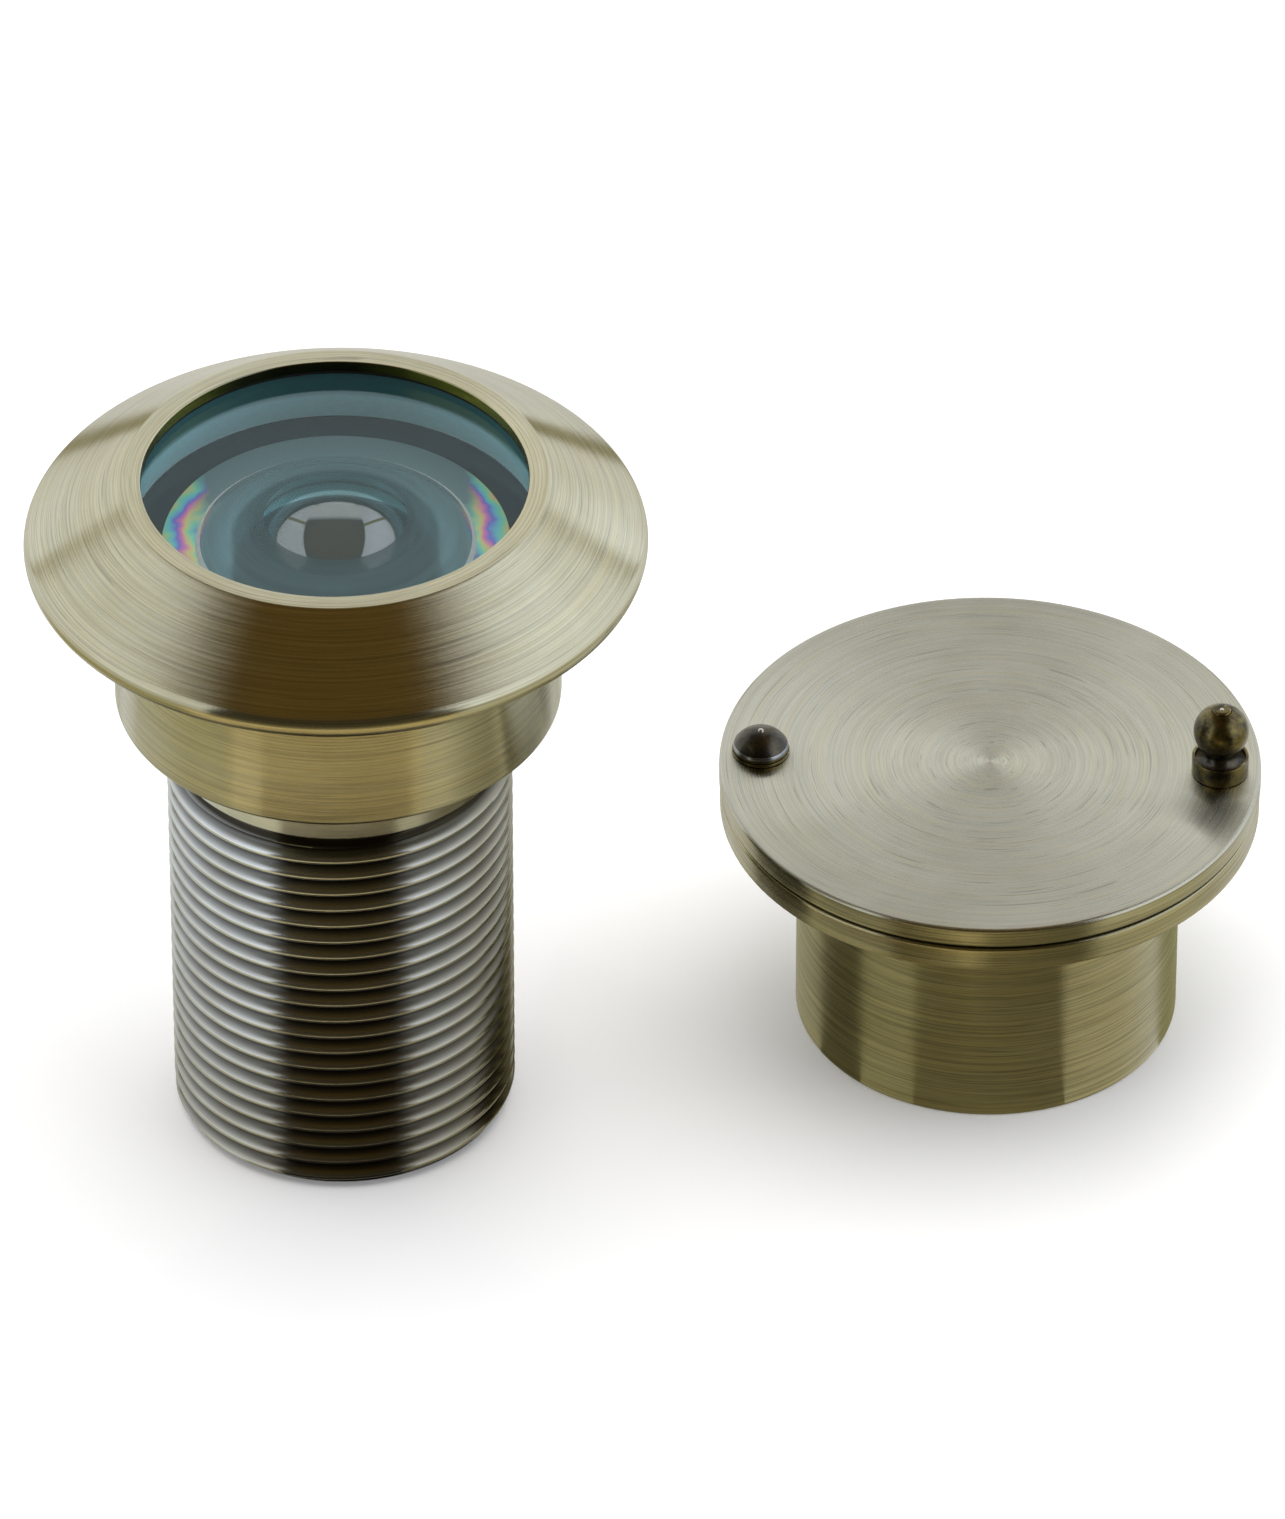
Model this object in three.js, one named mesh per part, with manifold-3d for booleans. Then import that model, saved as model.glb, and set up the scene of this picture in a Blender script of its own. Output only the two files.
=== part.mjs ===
// Wide-angle door viewer, taken apart into its two halves.
// The outer half stands on the end of its threaded tube, with the big front lens up.
// The inner half stands on the mouth of its sleeve, with the privacy cover up.
// In a door the inner half is turned over and screwed onto the tube, so that the flanges clamp the door.
// Millimetres, +Z up. The origin is the middle of the bounding box's base.
// Both halves are turned about upright axes that stand on the X axis.
import * as THREE from "three";
import { mergeVertices } from "three/addons/utils/BufferGeometryUtils.js";
import Module from "manifold-3d";

const wasm = await Module();
wasm.setup();

// ---------------------------------------------------------------- driving dimensions
const HALVES_APART = 41.2; // between the axes of the two halves
const RING_SIDES = 48; // sides of the turned pieces that are seen
const INSIDE_SIDES = 32; // sides of the pieces shut inside a half
const THREAD_SIDES = 32; // steps in one turn of a thread
const PIN_SIDES = 20; // sides of the rivet, the knob and their holes
const LENS_STEPS = 4; // rings of facets in a curved glass face
const FIT = 0.05; // play between pieces that are assembled into each other
const STACK = 0.03; // gap between pieces that lie on each other
const BROKEN_EDGE = 0.15; // chamfer that takes the sharpness off an outside edge
const SEAL = 0.25; // height left for a rubber seal and its gaps

const THREAD = { pitch: 1.25, crest: 10.65, root: 9.9 }; // the tube's outside thread
const THREAD_PLAY = 0.15; // radial play of the sleeve's inside thread on it
const UNDERCUT = 0.6; // height of the plain grooves where a thread or a shoulder ends

const HEAD = {
  top: 47.3, // height of the ring face around the lens
  lensOpening: 11.8,
  ringFace: 13, // outer radius of that ring face
  flange: 19,
  rimTop: 43.1, // where the bevel meets the flange's edge
  flangeSeat: 42.1, // the face that lies against the door
  collar: 13.7, // fills the hole drilled in the door
  collarEnd: 31.2,
  lip: 0.7, // thickness of the lip that holds the lens in
  lensBore: 12.5,
  boreEnd: 33.6,
};
const TUBE = { bore: 8.9, neck: 10.5, threadTop: 27, top: 34.2, spigot: 10.65 };
const SLEEVE = {
  outside: 12,
  flange: 16.85,
  flangeSeat: 15.55,
  flangeTop: 17.25,
  socketDepth: 12.4, // how far the tube can be screwed in
  threadDepth: 11.3,
  lensBore: 9,
  lip: 0.9,
  eyeHole: 6.5,
  eyeBevel: 0.5,
};
const COVER = { radius: 16.9, thickness: 1.3, gap: 0.25 };
const PIVOT = {
  circle: 14.33, // distance of the rivet and of the knob from the axis
  angle: THREE.MathUtils.degToRad(164),
  shank: 0.9,
  play: 0.06, // of the cover on the shank
  head: 1.74,
  headRim: 0.3, // height of the head's upright wall
  headRise: 1.2,
  tail: 1.4,
};
const KNOB = {
  ball: 1.73,
  ballHeight: 3.2, // of the ball's centre over the cover
  neck: 0.95,
  neckBottom: 1.45,
  collar: 1.77, // the cup that the foot stands in
  collarHeight: 1.3,
  foot: 1.55,
  footHeight: 0.5,
  spigot: 0.8, // goes down through the cover
  tail: 1.2,
};
const PEENED = 0.5; // height of a peened tail
const WASHER = { thickness: 0.2, underRadius: 2.1, topRadius: 1.8 };

const coverBottom = SLEEVE.flangeTop + COVER.gap;
const coverTop = coverBottom + COVER.thickness;
const boxWidth = HEAD.flange + HALVES_APART + COVER.radius;
const outerX = HEAD.flange - boxWidth / 2;
const innerX = outerX + HALVES_APART;
const pivotX = PIVOT.circle * Math.cos(PIVOT.angle);
const pivotY = PIVOT.circle * Math.sin(PIVOT.angle);

// ---------------------------------------------------------------- materials
const metal = (color, roughness) => new THREE.MeshStandardMaterial({ color, roughness, metalness: 1 });
const plain = (color, roughness) => new THREE.MeshStandardMaterial({ color, roughness, metalness: 0 });
const antiqueBrass = metal(0xa39a6c, 0.35);
const darkBronze = metal(0x4a3f28, 0.4);
const rawThread = metal(0x8b8578, 0.35);
const brightSteel = metal(0xc4c6c4, 0.25);
const blackPlastic = plain(0x17191a, 0.6);
const rubber = plain(0x101010, 0.85);
const glass = new THREE.MeshStandardMaterial({
  color: 0x8fb0b0,
  roughness: 0.02,
  metalness: 0,
  transparent: true,
  opacity: 0.35,
});

// ---------------------------------------------------------------- shapes
// A turned body from its half section: [radius, height] points with the outside wall going up.
function turned(section, sides = RING_SIDES) {
  const points = section.map(([radius, height]) => new THREE.Vector2(radius, height));
  return new THREE.LatheGeometry(points, sides).rotateX(Math.PI / 2);
}

// A plain ring with a rectangular section.
function ring(inside, outside, bottom, top, sides = RING_SIDES) {
  const section = [[inside, bottom], [outside, bottom], [outside, top], [inside, top], [inside, bottom]];
  return turned(section, sides);
}

// A plain round bar.
function bar(radius, bottom, top, sides = RING_SIDES) {
  return turned([[0, bottom], [radius, bottom], [radius, top], [0, top]], sides);
}

// Points of a spherical dome, or of a dish where the rise is negative, from the axis out to a radius.
function dome(radius, edgeHeight, rise, steps) {
  const sphere = (radius * radius + rise * rise) / (2 * Math.abs(rise));
  const points = [];
  for (let i = 0; i <= steps; i += 1) {
    const r = (radius * i) / steps;
    const drop = sphere - Math.sqrt(sphere * sphere - r * r);
    points.push([r, edgeHeight + rise - Math.sign(rise) * drop]);
  }
  return points;
}

function toSolid(geometry) {
  const bare = geometry.clone();
  bare.deleteAttribute("normal");
  bare.deleteAttribute("uv");
  const merged = mergeVertices(bare, 1e-4);
  return new wasm.Manifold(
    new wasm.Mesh({
      numProp: 3,
      vertProperties: merged.attributes.position.array,
      triVerts: new Uint32Array(merged.index.array),
    }),
  );
}

function toGeometry(solid) {
  const { vertProperties, triVerts, numProp } = solid.getMesh();
  const count = vertProperties.length / numProp;
  const positions = new Float32Array(count * 3);
  for (let i = 0; i < count; i += 1) {
    positions.set(vertProperties.subarray(i * numProp, i * numProp + 3), i * 3);
  }
  const geometry = new THREE.BufferGeometry();
  geometry.setAttribute("position", new THREE.BufferAttribute(positions, 3));
  geometry.setIndex(new THREE.BufferAttribute(triVerts, 1));
  geometry.computeVertexNormals();
  return geometry;
}

// A threaded rod whose crest and root lines are one helix each. Its ragged ends lie past bottom and top.
function threadedRod(crest, root, pitch, bottom, top) {
  const turns = Math.ceil((top - bottom) / pitch) + 2;
  const rows = 2 * turns;
  const positions = [];
  for (let row = 0; row <= rows; row += 1) {
    const radius = row % 2 === 0 ? root : crest;
    for (let i = 0; i < THREAD_SIDES; i += 1) {
      const angle = (2 * Math.PI * i) / THREAD_SIDES;
      const height = bottom - 1.5 * pitch + pitch * (row / 2 + i / THREAD_SIDES);
      positions.push(radius * Math.cos(angle), radius * Math.sin(angle), height);
    }
  }
  // One step on from the last point of a row is the first point two rows up, which is one pitch higher.
  const at = (row, i) => (i < THREAD_SIDES ? row * THREAD_SIDES + i : (row + 2) * THREAD_SIDES);
  const lastRow = rows - 2;
  const triangles = [];
  for (let row = 0; row < lastRow; row += 1) {
    for (let i = 0; i < THREAD_SIDES; i += 1) {
      triangles.push(at(row, i), at(row, i + 1), at(row + 1, i + 1));
      triangles.push(at(row, i), at(row + 1, i + 1), at(row + 1, i));
    }
  }
  const bottomCentre = positions.length / 3;
  positions.push(0, 0, bottom - 2 * pitch);
  positions.push(0, 0, bottom + pitch * (turns + 1));
  const rim = (row) => {
    const loop = [];
    for (let i = 0; i <= THREAD_SIDES; i += 1) loop.push(at(row, i));
    loop.push(at(row + 1, 0));
    return loop;
  };
  const cap = (loop, centre, faceUp) => {
    loop.forEach((point, i) => {
      const next = loop[(i + 1) % loop.length];
      if (faceUp) triangles.push(point, next, centre);
      else triangles.push(next, point, centre);
    });
  };
  cap(rim(0), bottomCentre, false);
  cap(rim(lastRow), bottomCentre + 1, true);
  const rod = new THREE.BufferGeometry();
  rod.setAttribute("position", new THREE.Float32BufferAttribute(positions, 3));
  rod.setIndex(triangles);
  return toSolid(rod);
}

function place(group, name, geometry, material, x = 0, y = 0) {
  const mesh = new THREE.Mesh(geometry, material);
  mesh.name = name;
  mesh.position.set(x, y, 0);
  group.add(mesh);
}

// ---------------------------------------------------------------- outer half
// The bevelled flange and collar, bored from behind so that its lip holds the lenses in.
function viewerHead() {
  const tubeHole = TUBE.spigot + 2 * FIT;
  return turned([
    [tubeHole, HEAD.collarEnd],
    [HEAD.collar - BROKEN_EDGE, HEAD.collarEnd],
    [HEAD.collar, HEAD.collarEnd + BROKEN_EDGE],
    [HEAD.collar, HEAD.flangeSeat],
    [HEAD.flange, HEAD.flangeSeat],
    [HEAD.flange, HEAD.rimTop],
    [HEAD.ringFace, HEAD.top],
    [HEAD.lensOpening, HEAD.top],
    [HEAD.lensOpening, HEAD.top - HEAD.lip],
    [HEAD.lensBore, HEAD.top - HEAD.lip],
    [HEAD.lensBore, HEAD.boreEnd],
    [tubeHole, HEAD.boreEnd],
    [tubeHole, HEAD.collarEnd],
  ]);
}

// The tube that goes through the door: threaded below, then a plain neck, then the end held in the head.
function threadedTube() {
  const reach = THREAD.crest + 0.2;
  const chamfer = reach - THREAD.root;
  const groove = THREAD.root - 0.1;
  const blank = turned(
    [[0, 0], [THREAD.root, 0], [reach, chamfer], [reach, TUBE.threadTop], [0, TUBE.threadTop]],
    THREAD_SIDES,
  );
  const thread = threadedRod(THREAD.crest, THREAD.root, THREAD.pitch, 0, TUBE.threadTop);
  const threaded = thread.intersect(toSolid(blank));
  const upper = turned([
    [0, TUBE.threadTop - THREAD.pitch],
    [groove, TUBE.threadTop - THREAD.pitch],
    [groove, TUBE.threadTop + UNDERCUT],
    [TUBE.neck, TUBE.threadTop + UNDERCUT],
    [TUBE.neck, HEAD.collarEnd - UNDERCUT],
    [TUBE.spigot, HEAD.collarEnd - UNDERCUT],
    [TUBE.spigot, TUBE.top],
    [0, TUBE.top],
  ]);
  const bore = bar(TUBE.bore, -1, TUBE.top + 1, THREAD_SIDES);
  return toGeometry(threaded.add(toSolid(upper)).subtract(toSolid(bore)));
}

const FRONT_LENS = { radius: HEAD.lensBore - 2 * FIT, bottom: 38.3, top: 46.3, bowl: 8.4, depth: 5 };
const MIDDLE_LENS = { radius: 10.3, bottom: 36.2, top: FRONT_LENS.bottom - STACK, bowl: 6.2, depth: 1.2 };
const REAR_LENS = { radius: 7.6, bottom: 33.6, top: 35.45, bowl: 4.6, depth: 1.1 };
const CELL = { web: 6.3, webBottom: 35.77, shoulder: TUBE.top + 0.6, skirt: 8.7, bottom: 31.6 };
const CELL_RETAINER = { inside: 6.2, bottom: 32.2, top: REAR_LENS.bottom - STACK };
const CUSHION_INSIDE = 9.4;

// A flat-topped lens with a dish ground into its underside.
function dishedLens({ radius, bottom, top, bowl, depth }) {
  const dish = dome(bowl, bottom, depth, LENS_STEPS);
  return turned([...dish, [radius, bottom], [radius, top], [0, top]], INSIDE_SIDES);
}

// The cup that carries the middle lens above its web, and the rear lens in the skirt below it.
function lensCell() {
  return turned([
    [REAR_LENS.radius + FIT, CELL.bottom],
    [CELL.skirt, CELL.bottom],
    [CELL.skirt, CELL.shoulder],
    [FRONT_LENS.radius, CELL.shoulder],
    [FRONT_LENS.radius, FRONT_LENS.bottom - STACK],
    [MIDDLE_LENS.radius + FIT, FRONT_LENS.bottom - STACK],
    [MIDDLE_LENS.radius + FIT, MIDDLE_LENS.bottom - STACK],
    [CELL.web, MIDDLE_LENS.bottom - STACK],
    [CELL.web, CELL.webBottom],
    [REAR_LENS.radius + FIT, CELL.webBottom],
    [REAR_LENS.radius + FIT, CELL.bottom],
  ], INSIDE_SIDES);
}

// A retaining ring with a spanner slot right across its lower face.
function slottedRing(inside, outside, bottom, top) {
  const slotWidth = 1.2;
  const slotDepth = (top - bottom) / 2;
  const slot = new THREE.BoxGeometry(3 * outside, slotWidth, slotDepth);
  slot.translate(0, 0, bottom + slotDepth / 2 - STACK);
  const blank = ring(inside, outside, bottom, top, INSIDE_SIDES);
  return toGeometry(toSolid(blank).subtract(toSolid(slot)));
}

function outerHalf() {
  const half = new THREE.Group();
  half.position.x = outerX;
  const sealTop = HEAD.top - HEAD.lip - STACK;
  const inside = (inner, outer, bottom, top) => ring(inner, outer, bottom, top, INSIDE_SIDES);
  const seal = inside(HEAD.lensOpening + 2 * FIT, FRONT_LENS.radius, FRONT_LENS.top + STACK, sealTop);
  const stop = inside(REAR_LENS.bowl, REAR_LENS.radius, REAR_LENS.top + STACK, CELL.webBottom - STACK);
  const cushion = inside(CUSHION_INSIDE, FRONT_LENS.radius, TUBE.top + STACK, CELL.shoulder - STACK);
  const { inside: retainerBore, bottom: retainerBottom, top: retainerTop } = CELL_RETAINER;
  const retainer = slottedRing(retainerBore, REAR_LENS.radius, retainerBottom, retainerTop);
  place(half, "viewer_head", viewerHead(), antiqueBrass);
  place(half, "threaded_tube", threadedTube(), rawThread);
  place(half, "front_seal_ring", seal, rubber);
  place(half, "front_lens", dishedLens(FRONT_LENS), glass);
  place(half, "lens_cell", lensCell(), blackPlastic);
  place(half, "middle_lens", dishedLens(MIDDLE_LENS), glass);
  place(half, "field_stop_ring", stop, blackPlastic);
  place(half, "rear_lens", dishedLens(REAR_LENS), glass);
  place(half, "cell_retaining_ring", retainer, blackPlastic);
  place(half, "cushion_ring", cushion, rubber);
  return half;
}

// ---------------------------------------------------------------- inner half
const EYE_LENS = { radius: 8.9, face: 7.3, bottom: 14.4, top: 16.07, upperRise: 0.7, lowerRise: 1.1 };
const EYE_RING_INSIDE = 7.6; // of the seal above the eyepiece lens and the slip ring under it
const EYE_RETAINER = { inside: 7.4, bottom: 12.9, top: 13.9 };

// What is cut away for a hole through a plate, opened out at its lower end for a peened tail.
function peenedHole(radius, tail, bottom, top, x, y) {
  const cutter = turned(
    [
      [0, bottom - 1],
      [tail + FIT, bottom - 1],
      [tail + FIT, bottom],
      [radius, bottom + PEENED],
      [radius, top + 1],
      [0, top + 1],
    ],
    PIN_SIDES,
  );
  return toSolid(cutter.translate(x, y, 0));
}

// The threaded sleeve and its flange, turned in one piece, with the eye hole through the flange.
function innerSleeve() {
  const minor = THREAD.root + THREAD_PLAY;
  const major = THREAD.crest + THREAD_PLAY;
  const blankBore = minor - 0.5; // small enough to leave metal for the thread to be cut in
  const shell = turned([
    [blankBore, 0],
    [SLEEVE.outside - BROKEN_EDGE, 0],
    [SLEEVE.outside, BROKEN_EDGE],
    [SLEEVE.outside, SLEEVE.flangeSeat],
    [SLEEVE.flange, SLEEVE.flangeSeat],
    [SLEEVE.flange, SLEEVE.flangeTop],
    [SLEEVE.eyeHole + SLEEVE.eyeBevel, SLEEVE.flangeTop],
    [SLEEVE.eyeHole, SLEEVE.flangeTop - SLEEVE.eyeBevel],
    [SLEEVE.eyeHole, SLEEVE.flangeTop - SLEEVE.lip],
    [SLEEVE.lensBore, SLEEVE.flangeTop - SLEEVE.lip],
    [SLEEVE.lensBore, SLEEVE.socketDepth],
    [blankBore, SLEEVE.socketDepth],
    [blankBore, 0],
  ]);
  const tap = threadedRod(major, minor, THREAD.pitch, 0, SLEEVE.threadDepth);
  const reach = toSolid(bar(major + 1, -1, SLEEVE.threadDepth, THREAD_SIDES));
  const relief = toSolid(bar(major, SLEEVE.threadDepth - STACK, SLEEVE.socketDepth, THREAD_SIDES));
  const bevel = major - minor;
  const leadIn = turned([[0, -1], [major + 1, -1], [major, 0], [minor, bevel], [0, bevel]], THREAD_SIDES);
  const { flangeSeat, flangeTop } = SLEEVE;
  const rivetHole = peenedHole(PIVOT.shank + STACK, PIVOT.tail, flangeSeat, flangeTop, pivotX, pivotY);
  const cutters = [tap.intersect(reach), relief, toSolid(leadIn), rivetHole];
  return toGeometry(cutters.reduce((solid, cutter) => solid.subtract(cutter), toSolid(shell)));
}

// A lens that bulges on both sides inside a flat rim.
function eyepieceLens() {
  const { radius, face, bottom, top, upperRise, lowerRise } = EYE_LENS;
  const under = dome(face, bottom, -lowerRise, LENS_STEPS);
  const over = dome(face, top, upperRise, LENS_STEPS).reverse();
  return turned([...under, [radius, bottom], [radius, top], ...over], INSIDE_SIDES);
}

// The disc that swings over the eyepiece, pierced for the rivet and for the knob's spigot.
function privacyCover() {
  const disc = turned([
    [0, coverBottom],
    [COVER.radius - BROKEN_EDGE, coverBottom],
    [COVER.radius, coverBottom + BROKEN_EDGE],
    [COVER.radius, coverTop - BROKEN_EDGE],
    [COVER.radius - BROKEN_EDGE, coverTop],
    [0, coverTop],
  ]);
  const pivotHole = bar(PIVOT.shank + PIVOT.play, coverBottom - 1, coverTop + 1, PIN_SIDES);
  pivotHole.translate(pivotX, pivotY, 0);
  const knobHole = peenedHole(KNOB.spigot + STACK, KNOB.tail, coverBottom, coverTop, -pivotX, -pivotY);
  return toGeometry(toSolid(disc).subtract(toSolid(pivotHole)).subtract(knobHole));
}

// The domed rivet that the cover turns on, with its tail peened into the flange's underside.
function pivotRivet() {
  const tailBottom = SLEEVE.flangeSeat + STACK;
  const headBottom = coverTop + 2 * STACK + WASHER.thickness;
  const head = dome(PIVOT.head, headBottom + PIVOT.headRim, PIVOT.headRise, 5).reverse();
  return turned(
    [
      [0, tailBottom],
      [PIVOT.tail, tailBottom],
      [PIVOT.shank, tailBottom + PEENED],
      [PIVOT.shank, headBottom],
      [PIVOT.head, headBottom],
      ...head,
    ],
    PIN_SIDES,
  );
}

// The ball-ended finger knob, turned with its neck, foot and spigot. The tail is peened under the cover.
function coverKnob() {
  const tailBottom = coverBottom + STACK;
  const base = coverTop + STACK;
  const centre = coverTop + KNOB.ballHeight;
  const start = -Math.acos(KNOB.neck / KNOB.ball);
  const steps = 7;
  const ball = [];
  for (let i = 0; i < steps; i += 1) {
    const angle = start + ((Math.PI / 2 - start) * i) / steps;
    ball.push([KNOB.ball * Math.cos(angle), centre + KNOB.ball * Math.sin(angle)]);
  }
  return turned(
    [
      [0, tailBottom],
      [KNOB.tail, tailBottom],
      [KNOB.spigot, tailBottom + PEENED],
      [KNOB.spigot, base],
      [KNOB.foot, base],
      [KNOB.foot, coverTop + KNOB.footHeight],
      [(KNOB.foot + KNOB.neck) / 2, coverTop + 1.5 * KNOB.footHeight],
      [KNOB.neck, coverTop + KNOB.neckBottom],
      ...ball,
      [0, centre + KNOB.ball],
    ],
    PIN_SIDES,
  );
}

// The thin cup that the knob's foot stands in.
function knobCollar() {
  const bore = KNOB.foot + FIT;
  return ring(bore, KNOB.collar, coverTop + STACK, coverTop + KNOB.collarHeight, PIN_SIDES);
}

function innerHalf() {
  const half = new THREE.Group();
  half.position.x = innerX;
  const lipBottom = SLEEVE.flangeTop - SLEEVE.lip;
  const underCover = SLEEVE.flangeTop + (COVER.gap - WASHER.thickness) / 2;
  const washer = (outside, bottom) =>
    ring(PIVOT.shank + FIT, outside, bottom, bottom + WASHER.thickness, PIN_SIDES);
  const eyeRing = (bottom, top) => ring(EYE_RING_INSIDE, EYE_LENS.radius, bottom, top, INSIDE_SIDES);
  const seal = eyeRing(lipBottom - SEAL, lipBottom - STACK);
  const slipRing = eyeRing(EYE_RETAINER.top + STACK, EYE_LENS.bottom - STACK);
  const { inside: retainerBore, bottom: retainerBottom, top: retainerTop } = EYE_RETAINER;
  const retainer = slottedRing(retainerBore, EYE_LENS.radius, retainerBottom, retainerTop);
  place(half, "inner_sleeve", innerSleeve(), antiqueBrass);
  place(half, "eyepiece_seal_ring", seal, rubber);
  place(half, "eyepiece_lens", eyepieceLens(), glass);
  place(half, "eyepiece_slip_ring", slipRing, blackPlastic);
  place(half, "eyepiece_retaining_ring", retainer, blackPlastic);
  place(half, "pivot_under_washer", washer(WASHER.underRadius, underCover), brightSteel, pivotX, pivotY);
  place(half, "pivot_top_washer", washer(WASHER.topRadius, coverTop + STACK), darkBronze, pivotX, pivotY);
  place(half, "pivot_rivet", pivotRivet(), darkBronze, pivotX, pivotY);
  place(half, "privacy_cover", privacyCover(), antiqueBrass);
  place(half, "knob_collar", knobCollar(), darkBronze, -pivotX, -pivotY);
  place(half, "cover_knob", coverKnob(), darkBronze, -pivotX, -pivotY);
  return half;
}

const doorViewer = new THREE.Group();
doorViewer.add(outerHalf(), innerHalf());
export default doorViewer;
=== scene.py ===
"""Looks of a door viewer in two halves: antique brass, turned thread, stacked lenses and a swinging cover."""
import math

import bmesh
import bpy
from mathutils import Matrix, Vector


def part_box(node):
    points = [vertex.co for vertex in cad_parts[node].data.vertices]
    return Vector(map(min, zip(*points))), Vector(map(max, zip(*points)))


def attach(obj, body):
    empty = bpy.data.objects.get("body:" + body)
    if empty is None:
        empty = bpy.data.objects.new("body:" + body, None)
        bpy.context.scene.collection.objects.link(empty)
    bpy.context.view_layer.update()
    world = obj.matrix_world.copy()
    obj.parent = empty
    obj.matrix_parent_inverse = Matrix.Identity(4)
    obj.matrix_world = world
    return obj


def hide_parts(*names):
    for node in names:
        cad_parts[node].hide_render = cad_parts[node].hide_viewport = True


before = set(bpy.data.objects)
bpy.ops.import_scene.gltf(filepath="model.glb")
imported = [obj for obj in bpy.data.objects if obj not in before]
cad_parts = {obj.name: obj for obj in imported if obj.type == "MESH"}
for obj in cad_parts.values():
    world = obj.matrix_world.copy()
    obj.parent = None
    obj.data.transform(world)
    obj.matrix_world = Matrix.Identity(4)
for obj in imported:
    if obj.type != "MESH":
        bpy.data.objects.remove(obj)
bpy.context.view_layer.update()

MM = 0.001
SEGMENTS = 256  # steps round everything turned about a half's axis
PIN_SEGMENTS = 96
THREAD_SEGMENTS = 144
THREAD_STEPS = 12  # points in the section of one thread
PITCH = 1.25 * MM
DISH_STEPS = 64  # points in the section of a dish or dome
TOUCHING = 1e-7  # points nearer than this, to each other or to the axis, are one
NO_AREA = 1e-16  # a face smaller than this has no area
SHEAR = 0.83  # how much a step up a wall moves the turning lines, as a share of that step

# Sizes in millimetres that a shape shares with a finish or with a card.
CREST = 10.65  # radius of the outside thread's crest, and of the plain neck over it
THREAD_TOP = 27  # where the outside thread ends
COLLAR = 13.7
LENS_OPENING = 11.8
LENS_WALL = 12.4  # radius of the front lens
LENS_LOW = 38.3  # height of the front lens's underside
BOWL = 8.4  # radius of the bowl ground into that underside
SLEEVE = 12
INNER_SEAT = 15.55  # height of the inner flange's underside
INNER_FLANGE = 16.85
CLEAR_SHARE = 0.52  # of the bowl's radius is clear glass, and its wall beyond that is satin
EDGE_SHARE = 0.965  # of the bowl's radius, where its bright ground edge begins


# ---------------------------------------------------------------- places, from the frame
def middle(node):
    low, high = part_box(node)
    return (low + high) / 2


OUTER = middle("viewer_head")
INNER = middle("privacy_cover")
PIVOT = middle("pivot_rivet")
KNOB = middle("cover_knob")
AT_OUTER = (OUTER.x, OUTER.y, 0)
AT_INNER = (INNER.x, INNER.y, 0)
AT_PIVOT = (PIVOT.x, PIVOT.y, 0)
AT_KNOB = (KNOB.x, KNOB.y, 0)


# ---------------------------------------------------------------- shapes
def mm(points):
    """A section given in millimetres, in metres. A third number is the size of that corner's rounding."""
    return [tuple(value * MM for value in point) for point in points]


def dish(reach, edge, rise):
    """Points of a spherical dish or dome from the axis outwards, in millimetres."""
    sphere = (reach * reach + rise * rise) / (2 * abs(rise))
    sign = math.copysign(1, rise)
    points = []
    for i in range(DISH_STEPS + 1):
        r = reach * i / DISH_STEPS
        points.append((r, edge + rise - sign * (sphere - math.sqrt(sphere * sphere - r * r))))
    return points


def added(piece, material):
    """Adds a finish to a piece, and gives its number there."""
    piece.data.materials.append(material)
    return len(piece.data.materials) - 1


def rounded(points, closed=True):
    """A section's points in metres, with each corner that states a size (third number) turned into an arc."""
    result = []
    count = len(points)
    for i, point in enumerate(points):
        here = Vector(point[:2])
        size = point[2] if len(point) > 2 else 0
        if size == 0 or (not closed and i in (0, count - 1)):
            result.append(here)
            continue
        before = Vector(points[i - 1][:2]) - here
        after = Vector(points[(i + 1) % count][:2]) - here
        reach = min(size, before.length * 0.49, after.length * 0.49)
        start = here + before.normalized() * reach
        end = here + after.normalized() * reach
        steps = 5
        for k in range(steps + 1):
            t = k / steps
            result.append(start * (1 - t) ** 2 + here * 2 * t * (1 - t) + end * t ** 2)
    return result


def add_face(mesh, corners):
    """Adds a face, without the corners that come twice. What has fewer than three corners left is no face."""
    kept = [v for i, v in enumerate(corners) if v not in corners[:i]]
    if len(kept) > 2:
        mesh.faces.new(kept)


def spin(mesh, section, segments, closed):
    """Adds the surface that a section makes when turned about Z. Points on the axis become one vertex."""
    rings = []
    for point in section:
        if abs(point.x) < TOUCHING:
            rings.append([mesh.verts.new((0, 0, point.y))])
            continue
        ring = []
        for k in range(segments):
            angle = math.tau * k / segments
            ring.append(mesh.verts.new((point.x * math.cos(angle), point.x * math.sin(angle), point.y)))
        rings.append(ring)
    pairs = list(zip(rings, rings[1:]))
    if closed:
        pairs.append((rings[-1], rings[0]))
    for low, high in pairs:
        for k in range(segments):
            following = (k + 1) % segments
            below = [low[k % len(low)], low[following % len(low)]]
            above = [high[following % len(high)], high[k % len(high)]]
            add_face(mesh, below + above)


def finished(name, mesh, place, material, body, nodes, sharp=35):
    """Makes the object from its mesh, shades it, hides the parts that it stands for, and hangs it on the body
    that it moves with.
    """
    bmesh.ops.recalc_face_normals(mesh, faces=mesh.faces)
    for face in mesh.faces:
        face.smooth = True
    limit = math.radians(sharp)
    for edge in mesh.edges:
        if len(edge.link_faces) == 2 and edge.calc_face_angle() > limit:
            edge.smooth = False
    data = bpy.data.meshes.new(name)
    mesh.to_mesh(data)
    mesh.free()
    data.materials.append(material)
    piece = bpy.data.objects.new(name, data)
    piece.location = place
    bpy.context.scene.collection.objects.link(piece)
    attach(piece, body)
    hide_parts(*nodes)
    return piece


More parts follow.
